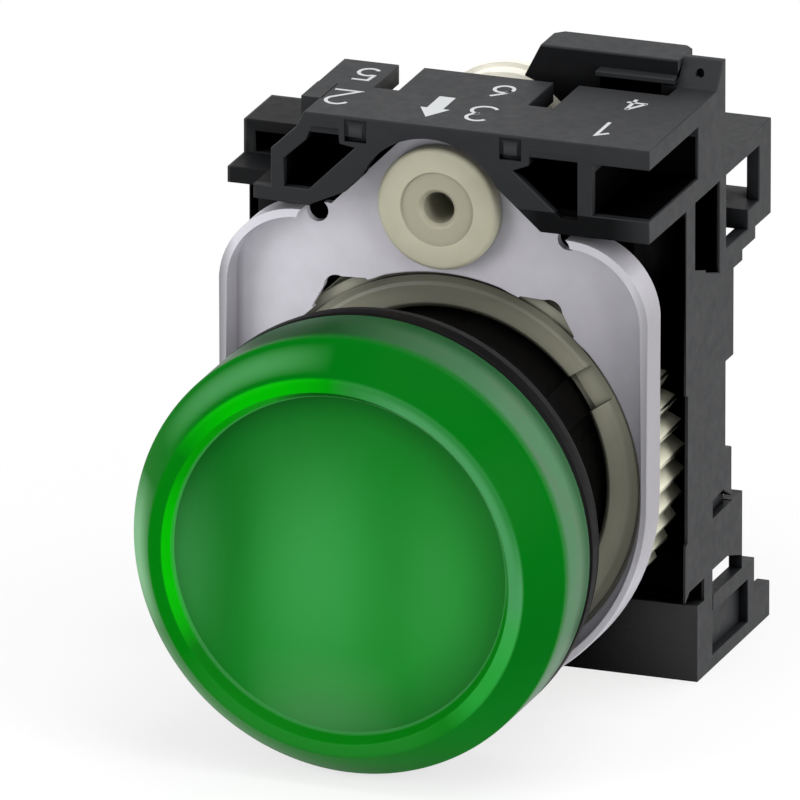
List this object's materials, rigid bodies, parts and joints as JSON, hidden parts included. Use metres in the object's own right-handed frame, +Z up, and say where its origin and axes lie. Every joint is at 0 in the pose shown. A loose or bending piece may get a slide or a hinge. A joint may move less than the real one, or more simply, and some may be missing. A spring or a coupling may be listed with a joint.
{
  "type": "panel pilot light",
  "caption": "Green pilot light head with its neck, silver mounting plate, cream locking ring, clamp screw, black module holder and lamp module.",
  "frame": {"origin": "on the lens axis, in the plane of the front face of the panel, which is the back of the flat seal", "axes": "+Y along the lens axis from the lens to the back, +Z up towards the clamp screw, +X to the right seen from the front"},
  "size_m": [0.03, 0.0556, 0.041],
  "materials": {
    "green_lens": "translucent green, polished",
    "white_diffuser": "milky translucent",
    "black_rubber": "matt black rubber",
    "head_black": "black moulded plastic, semi-gloss",
    "plate_silver": "satin zinc-plated sheet",
    "cream_plastic": "cream moulded plastic, semi-gloss",
    "holder_black": "charcoal moulded plastic, fine grain",
    "module_black": "black moulded plastic, fine grain",
    "board_green": "green circuit board",
    "lamp_clear": "clear epoxy",
    "chip_black": "black epoxy",
    "resistor_tan": "tan lacquer",
    "contact_brass": "bright brass strip",
    "zinc_steel": "zinc-plated steel"
  },
  "bodies": {
    "holder": {"lens": "green_lens", "diffuser": "white_diffuser", "lens_seal": "black_rubber", "bezel_body": "head_black", "front_gasket": "black_rubber", "mounting_plate": "plate_silver", "holder_frame": "holder_black", "module_housing": "module_black", "module_cover": "module_black", "led_board": "board_green", "led_lamp": "lamp_clear", "rectifier": "chip_black", "resistor_1": "resistor_tan", "resistor_2": "resistor_tan", "contact_bar_1": "contact_brass", "contact_bar_2": "contact_brass"},
    "ring": {"locking_ring": "cream_plastic"},
    "foot": {"pressure_foot": "cream_plastic"},
    "screw": {"clamp_screw": "cream_plastic"},
    "clamp_1": {"wire_clamp_1": "zinc_steel"},
    "clamp_2": {"wire_clamp_2": "zinc_steel"},
    "terminal_1": {"terminal_screw_1": "zinc_steel"},
    "terminal_2": {"terminal_screw_2": "zinc_steel"}
  },
  "joints": [
    {"name": "ring_turn", "type": "hinge", "parent": "holder", "child": "ring", "pos_m": [0, 0.015, 0], "axis": [0, 1, 0], "range_deg": [-45, 0]},
    {"name": "foot_slide", "type": "slide", "parent": "holder", "child": "foot", "axis": [0, 1, 0], "range_m": [-0.0044, 0]},
    {"name": "screw_turn", "type": "hinge", "parent": "foot", "child": "screw", "pos_m": [0, 0.0215, 0.0182], "axis": [0, 1, 0], "range_deg": [-1056, 0]},
    {"name": "clamp_1_slide", "type": "slide", "parent": "holder", "child": "clamp_1", "axis": [0, 1, 0], "range_m": [-0.002, 0]},
    {"name": "terminal_1_turn", "type": "hinge", "parent": "clamp_1", "child": "terminal_1", "pos_m": [0, 0.0415, 0.0064], "axis": [0, 1, 0], "range_deg": [-1440, 0]},
    {"name": "clamp_2_slide", "type": "slide", "parent": "holder", "child": "clamp_2", "axis": [0, 1, 0], "range_m": [-0.002, 0]},
    {"name": "terminal_2_turn", "type": "hinge", "parent": "clamp_2", "child": "terminal_2", "pos_m": [0, 0.0415, -0.0093], "axis": [0, 1, 0], "range_deg": [-1440, 0]}
  ],
  "couplings": [
    {"joint": "screw_turn", "follows": "foot_slide", "rad_per_m": 4188.8},
    {"joint": "terminal_1_turn", "follows": "clamp_1_slide", "rad_per_m": 12566},
    {"joint": "terminal_2_turn", "follows": "clamp_2_slide", "rad_per_m": 12566}
  ]
}
